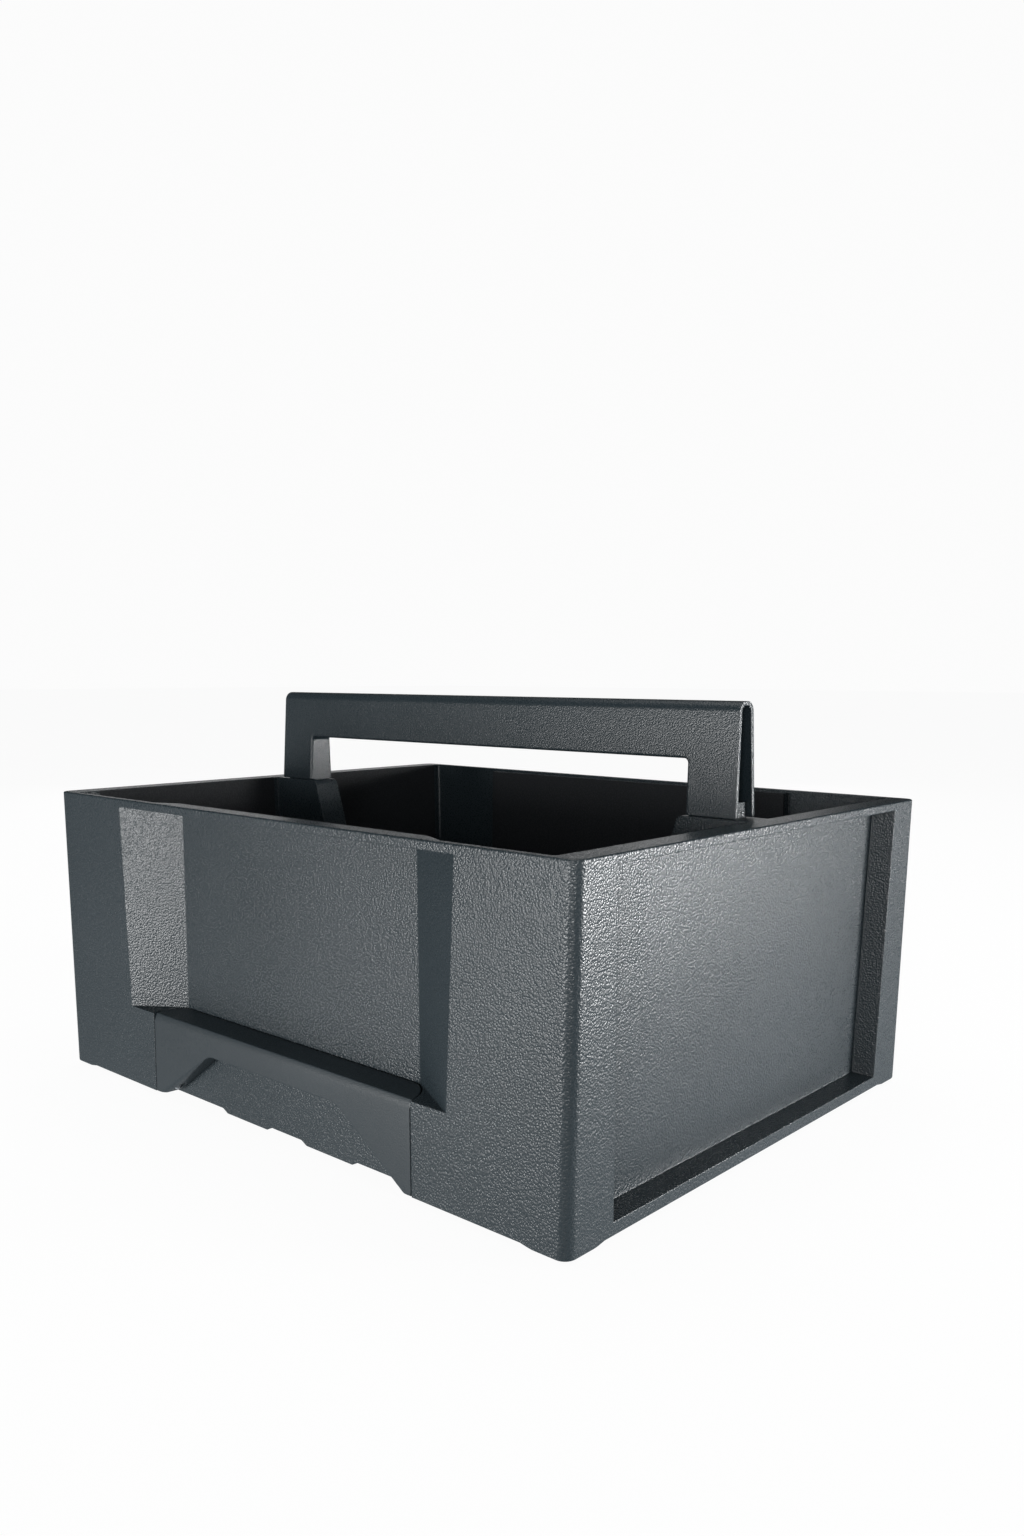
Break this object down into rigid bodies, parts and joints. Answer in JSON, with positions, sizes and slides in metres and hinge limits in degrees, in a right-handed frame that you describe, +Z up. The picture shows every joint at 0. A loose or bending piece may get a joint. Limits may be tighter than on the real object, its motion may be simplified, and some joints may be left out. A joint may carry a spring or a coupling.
{
  "type": "tool storage caddy",
  "caption": "Open-top moulded tool caddy with sloping recessed walls, a fixed carry handle on inner pillars and a handle that folds out of the front wall.",
  "frame": {"origin": "on the ground under the middle of the rim", "axes": "+X along the length to the right as seen from the front, +Y from the front wall to the rear wall, +Z up"},
  "size_m": [0.4, 0.3116, 0.2246],
  "materials": {
    "grained_plastic": "slate grey with a fine spark-eroded grain and a low sheen",
    "handle_plastic": "slate grey with a fine spark-eroded grain",
    "front_handle_plastic": "slate grey with a fine spark-eroded grain",
    "steel": "plain zinc-plated steel"
  },
  "bodies": {
    "caddy": {"tub": "grained_plastic", "carry_handle": "handle_plastic", "handle_screw_left": "steel", "handle_screw_right": "steel", "hinge_pin_left": "steel", "hinge_pin_right": "steel"},
    "folding_handle": {"front_handle": "front_handle_plastic"}
  },
  "joints": [
    {"name": "front_handle_hinge", "type": "hinge", "parent": "caddy", "child": "folding_handle", "pos_m": [0, -0.14828, 0.0082], "axis": [1, 0, 0], "range_deg": [0, 90]}
  ]
}
